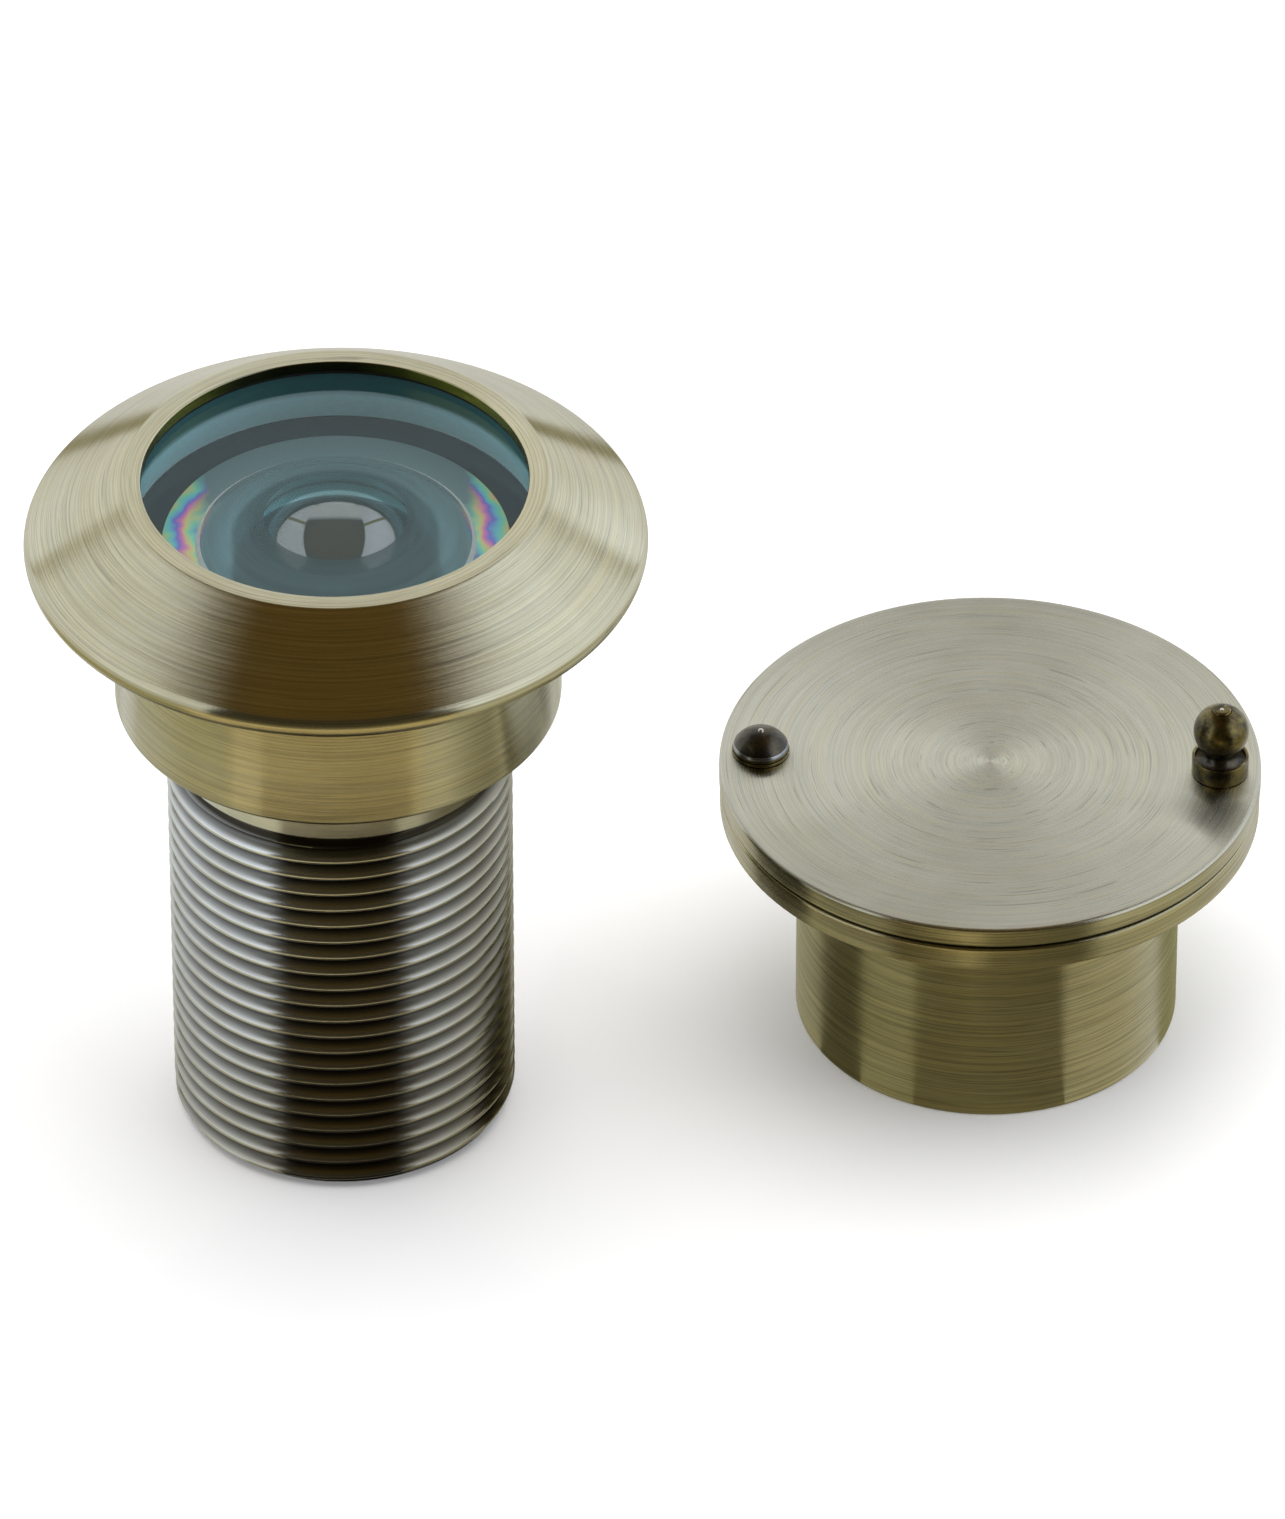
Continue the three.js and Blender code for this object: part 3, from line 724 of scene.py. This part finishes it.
def drilled(piece, holes):
    """Cuts round holes, each (x, y, radius) in the piece's own frame, right through a piece."""
    length = 0.05
    for x, y, size in holes:
        mesh = bmesh.new()
        section = [Vector(p) for p in ((0, 0), (size, 0), (size, length), (0, length))]
        spin(mesh, section, PIN_SEGMENTS, closed=False)
        bmesh.ops.recalc_face_normals(mesh, faces=mesh.faces)
        data = bpy.data.meshes.new("drill")
        mesh.to_mesh(data)
        mesh.free()
        drill = bpy.data.objects.new("drill", data)
        drill.location = piece.location + Vector((x, y, 0))
        bpy.context.scene.collection.objects.link(drill)
        cut = piece.modifiers.new("hole", "BOOLEAN")
        cut.operation = "DIFFERENCE"
        cut.solver = "EXACT"
        cut.object = drill
        graph = bpy.context.evaluated_depsgraph_get()
        cut_mesh = bpy.data.meshes.new_from_object(piece.evaluated_get(graph))
        piece.modifiers.clear()
        piece.data = cut_mesh
        for face in cut_mesh.polygons:
            face.use_smooth = abs(face.normal.z) < 0.999
        bpy.data.objects.remove(drill)


def privacy_cover():
    """The disc with its softened edge, pierced for the rivet and for the knob's spigot."""
    edge, under, over = 16.9, 17.5, 18.8
    section = mm([(0, under), (edge, under, 0.15), (edge, over, 0.25), (0, over)])
    cover = turned("cover_disc", section, AT_INNER, BRASS_COVER, "cover", ["privacy_cover"],
                   closed=False)
    offset = PIVOT - INNER
    drilled(cover, [(offset.x, offset.y, 0.96 * MM), (-offset.x, -offset.y, 0.83 * MM)])
    refinish(cover, BRASS_INNER, (16.7, 17, 17.4, 18.62))


def pivot():
    """The domed rivet with its peened tail, and the washers above and below the cover."""
    head = [(1.74, 19.06, 0.05), (1.74, 19.26), (1.68, 19.46)]
    cap = [(r, z) for r, z in reversed(dish(1.66, 19.48, 0.93)) if r > 0.19]
    pip = [(0.19, 20.4), (0.16, 20.47), (0.09, 20.51), (0, 20.52)]
    section = mm([(0, 15.58), (1.4, 15.58, 0.1), (0.9, 16.08), (0.9, 19.06), *head, *cap, *pip])
    rivet = turned("rivet", section, AT_PIVOT, RIVET_BRONZE, "inner_half", ["pivot_rivet"],
                   PIN_SEGMENTS, closed=False)
    refinish(rivet, RUBBED, (1.6, 1.75, 19.3, 19.5))
    refinish(rivet, BRONZE, (1.7, 1.75, 19.05, 19.28))
    refinish(rivet, STEEL, (0, 0.18, 20.41, 20.7))
    hole = 0.95
    plain_ring("rivet_top_washer", "pivot_top_washer", hole, 1.8, 18.83, 19.03, AT_PIVOT, BRONZE,
               "dark_bronze", "inner_half")
    plain_ring("rivet_under_washer", "pivot_under_washer", hole, 2.1, 17.28, 17.48, AT_PIVOT, STEEL,
               "bright_steel", "inner_half")


def knob():
    """A ball with a turned button and pip on top, on a flared neck that stands in a thin cup."""
    ball, centre, waist, button = 1.73, 22.0, 0.95, 0.66
    foot, base, spigot, tail, tail_end = 1.56, 18.83, 0.8, 1.2, 17.53
    start = -math.acos(waist / ball)
    finish = math.acos(button / ball)
    curve = []
    steps = 48
    for i in range(steps + 1):
        angle = start + (finish - start) * i / steps
        curve.append((ball * math.cos(angle), centre + ball * math.sin(angle)))
    shoulder = centre + ball * math.sin(finish)
    crown = [
        (0.6, shoulder - 0.03), (0.58, shoulder + 0.06, 0.03), (0.5, shoulder + 0.1), (0.3, shoulder + 0.11),
        (0.13, shoulder + 0.1), (0.1, shoulder + 0.125), (0, shoulder + 0.13),
    ]
    flare = []
    flare_steps = 12
    for i in range(flare_steps + 1):
        angle = math.pi / 2 * i / flare_steps
        flare.append((foot - 0.61 * math.sin(angle), 20.42 - 0.6 * math.cos(angle)))
    section = mm([
        (0, tail_end), (tail, tail_end, 0.1), (spigot, 18.03), (spigot, base), (foot, base),
        *flare, *curve, *crown,
    ])
    piece = turned("knob_ball", section, AT_KNOB, BRONZE, "cover", ["cover_knob"],
                   PIN_SEGMENTS, closed=False)
    refinish(piece, STEEL, (0, 0.12, shoulder + 0.1, shoulder + 0.2))
    refinish(piece, RIVET_BRONZE, (0.9, 1.6, 18.9, 20.5))
    bore, outside, brim = 1.6, 1.77, 20.1
    collar = mm([(bore, base), (outside, base, 0.08), (outside, brim, 0.06), (bore, brim, 0.04)])
    turned("knob_collar_ring", collar, AT_KNOB, BRONZE, "cover", ["knob_collar"], PIN_SEGMENTS)


# ---------------------------------------------------------------- studio
TURN = math.radians(11.9)  # how far the camera stands round to the left of the row's front
OPENING = 0.93  # half width of the tent's opening, as a share of the distance forwards
SLIT = 0.65  # half width of the slit over the top, as a share of the height
LEAN = 0.05  # how far the slit stands to the left of the middle, as a share of the height
DEPRESSION = math.radians(38.15)  # how far the camera looks down


def floor():
    """The pale floor, which gives off a little light of its own and is left out of reflections."""
    nodes = Nodes("pale_floor")
    speckle = nodes.noise(nodes.place, 30.0)
    nodes.feed("Base Color", nodes.ramp(speckle, [(0.3, 0.88), (0.7, 0.9)]))
    nodes.shine(Roughness=0.6, Emission_Color=(1.0, 1.0, 1.0), Emission_Strength=0.14)
    mesh = bmesh.new()
    bmesh.ops.create_grid(mesh, x_segments=1, y_segments=1, size=4)
    data = bpy.data.meshes.new("studio_floor")
    mesh.to_mesh(data)
    mesh.free()
    data.materials.append(nodes.material)
    ground = bpy.data.objects.new("studio_floor", data)
    ground.visible_glossy = False
    bpy.context.scene.collection.objects.link(ground)


def softbox(name, place, aim, width, height, power):
    """A soft white lamp that is left out of reflections and of what is seen through glass."""
    light = bpy.data.lights.new(name, "AREA")
    light.shape = "RECTANGLE"
    light.size = width
    light.size_y = height
    light.energy = power
    lamp = bpy.data.objects.new(name, light)
    lamp.location = place
    lamp.visible_glossy = False
    lamp.visible_transmission = False
    lamp.rotation_euler = (Vector(aim) - Vector(place)).to_track_quat("-Z", "Y").to_euler()
    bpy.context.scene.collection.objects.link(lamp)


def card(name, centre, reach, angles, heights, tone):
    """A card lying on the floor, seen only as a reflection in the metal.

    It fills the part of the floor that the camera sees mirrored in an upright wall of radius reach round the
    centre, between two angles from the side that faces the camera, and between two heights.
    """
    nodes = Nodes(name)
    nodes.shine(Base_Color=(0.0, 0.0, 0.0), Emission_Color=tone, Emission_Strength=1.0, Roughness=1.0)
    mesh = bmesh.new()
    steps = 12
    just_over_floor = 0.05
    rows = []
    for height in heights:
        row = []
        for i in range(steps + 1):
            angle = math.radians(angles[0] + (angles[1] - angles[0]) * i / steps)
            here = Vector((math.sin(angle - TURN), -math.cos(angle - TURN))) * reach
            along = Vector((math.sin(2 * angle - TURN), -math.cos(2 * angle - TURN)))
            spot = here + along * height / math.tan(DEPRESSION)
            row.append(mesh.verts.new((centre.x / MM + spot.x, centre.y / MM + spot.y, just_over_floor)))
        rows.append(row)
    for i in range(steps):
        mesh.faces.new([rows[0][i], rows[0][i + 1], rows[1][i + 1], rows[1][i]])
    bmesh.ops.scale(mesh, vec=(MM, MM, MM), verts=mesh.verts)
    data = bpy.data.meshes.new(name)
    mesh.to_mesh(data)
    mesh.free()
    data.materials.append(nodes.material)
    piece = bpy.data.objects.new(name, data)
    for kind in ("camera", "diffuse", "transmission", "volume_scatter", "shadow"):
        setattr(piece, "visible_" + kind, False)
    bpy.context.scene.collection.objects.link(piece)


def cards():
    """The cards for the outer half's tube, neck and collar, and for the inner half's sleeve and flange."""
    card("card_thread", OUTER, CREST, (-20.5, 20.5), (0, THREAD_TOP), (0.012, 0.01, 0.007))
    card("card_neck", OUTER, CREST, (-30, 30), (27.1, 32), (0.78, 0.66, 0.4))
    card("card_collar", OUTER, COLLAR, (-27, 22), (32.2, 95), (0.78, 0.62, 0.3))
    card("card_collar_left", OUTER, COLLAR, (-64, -27), (32.2, 60), (0.375, 0.335, 0.1))
    wall = (0, 15.5)
    card("card_sleeve_front", INNER, SLEEVE, (-23.3, 23.3), wall, (0.215, 0.19, 0.105))
    card("card_sleeve_near_left", INNER, SLEEVE, (-42, -23.3), wall, (0.37, 0.35, 0.21))
    card("card_sleeve_left", INNER, SLEEVE, (-61, -42), wall, (0.115, 0.105, 0.055))
    card("card_sleeve_far_left", INNER, SLEEVE, (-88, -61), wall, (0.4, 0.38, 0.26))
    card("card_sleeve_far_right", INNER, SLEEVE, (64, 88), wall, (0.32, 0.31, 0.15))
    card("card_flange_left", INNER, INNER_FLANGE, (-59, -43), (15.5, 22), (0.07, 0.06, 0.03))


def tent_opening(nodes, front, side, up):
    """1 where the tent is open, at its front and in the slit over the top, and 0 on its walls."""
    at_front = nodes.math("MULTIPLY", front, OPENING)
    overhead = nodes.math("MULTIPLY", up, SLIT)
    lean = nodes.math("MULTIPLY", nodes.math("MAXIMUM", up, 0.0), LEAN)
    off_middle = nodes.math("ABSOLUTE", nodes.math("ADD", side, lean))
    half_width = nodes.math("MAXIMUM", at_front, overhead)
    inside = nodes.step(nodes.math("SUBTRACT", half_width, off_middle), -0.02, 0.02)
    return nodes.math("MULTIPLY", inside, nodes.step(front, -0.66, -0.5))


def tent_line(nodes, aside, front, bearing, inner, outer):
    """1 on a line up each side of the tent's back, and 0 off it. Bearing is its share aside over its depth."""
    off = nodes.math("ABSOLUTE", nodes.math("ADD", aside, nodes.math("MULTIPLY", front, bearing)))
    return nodes.math("SUBTRACT", 1.0, nodes.step(off, inner, outer))


def tent_walls(nodes, front, side, up):
    """The walls and the table under them, with a painted shadow straight below, dark seams at the back corners
    and folds low between them.
    """
    aside = nodes.math("ABSOLUTE", side)
    table = nodes.mix(nodes.step(front, 0.1, -0.6), (0.62, 0.58, 0.41), (0.8, 0.8, 0.77))
    # Painted shadow: the table straight below is dark.
    under = nodes.mix(nodes.step(up, -0.75, -0.9), table, (0.12, 0.11, 0.08))
    both = nodes.mix(nodes.step(aside, 0.4, 0.68), (0.98, 0.98, 0.97), (1.03, 1.06, 1.12))
    brighter_right = nodes.mix(nodes.step(side, 0.4, 0.68), both, (1.2, 1.25, 1.38))
    walls = nodes.mix(nodes.step(up, -0.2, 0.1), under, brighter_right)
    corners = tent_line(nodes, aside, front, 1.13, 0.045, 0.06)
    seams = nodes.math("MULTIPLY", corners, nodes.step(up, 0.1, 0.15))
    seamed = nodes.mix(seams, walls, (0.36, 0.31, 0.11))
    creases = tent_line(nodes, aside, front, 0.327, 0.03, 0.05)
    folds = nodes.math("MULTIPLY", creases, nodes.step(up, 0.35, 0.2))
    at_back = nodes.math("MULTIPLY", folds, nodes.step(front, -0.5, -0.7))
    return nodes.mix(at_back, seamed, (0.3, 0.27, 0.13))


def surroundings():
    """A white light tent, open at the front and with a slit over the top, drawn by direction in the world."""
    world = bpy.data.worlds.new("studio")
    world.use_nodes = True
    nodes = Tree(world.node_tree)
    direction = nodes.add("ShaderNodeTexCoord").outputs["Generated"]
    front = nodes.along(direction, (-math.sin(TURN), -math.cos(TURN), 0))
    side = nodes.along(direction, (math.cos(TURN), -math.sin(TURN), 0))
    up = nodes.along(direction, (0, 0, 1))
    low_hollow = nodes.mix(nodes.step(up, -0.3, 0.0), (0.19, 0.165, 0.09), (0.05, 0.042, 0.025))
    hollow = nodes.mix(nodes.step(up, 0.72, 0.92), low_hollow, (0.13, 0.08, 0.018))
    gap = tent_opening(nodes, front, side, up)
    colour = nodes.mix(gap, tent_walls(nodes, front, side, up), hollow)
    nodes.link(colour, world.node_tree.nodes["Background"].inputs["Color"])
    bpy.context.scene.world = world


def camera():
    """The camera looks down at the floor point that the picture is centred on."""
    distance = 900 * MM
    target = Vector((5.41, 28.04, 0)) * MM
    level = math.cos(DEPRESSION)
    back = Vector((-math.sin(TURN) * level, -math.cos(TURN) * level, math.sin(DEPRESSION)))
    lens = bpy.data.cameras.new("camera")
    lens.lens = 330.5
    lens.clip_start = 0.01
    view = bpy.data.objects.new("camera", lens)
    view.location = target + back * distance
    view.rotation_euler = (-back).to_track_quat("-Z", "Y").to_euler()
    bpy.context.scene.collection.objects.link(view)
    bpy.context.scene.camera = view


viewer_head()
threaded_tube()
lens_stack()
lens_mounting()
inner_sleeve()
eyepiece()
privacy_cover()
pivot()
knob()
floor()
softbox("overhead_fill", (0, 0.1, 1.2), (0, 0, 0), 1.4, 1.4, 17)
cards()
surroundings()
camera()
bpy.context.scene.view_settings.view_transform = "Standard"
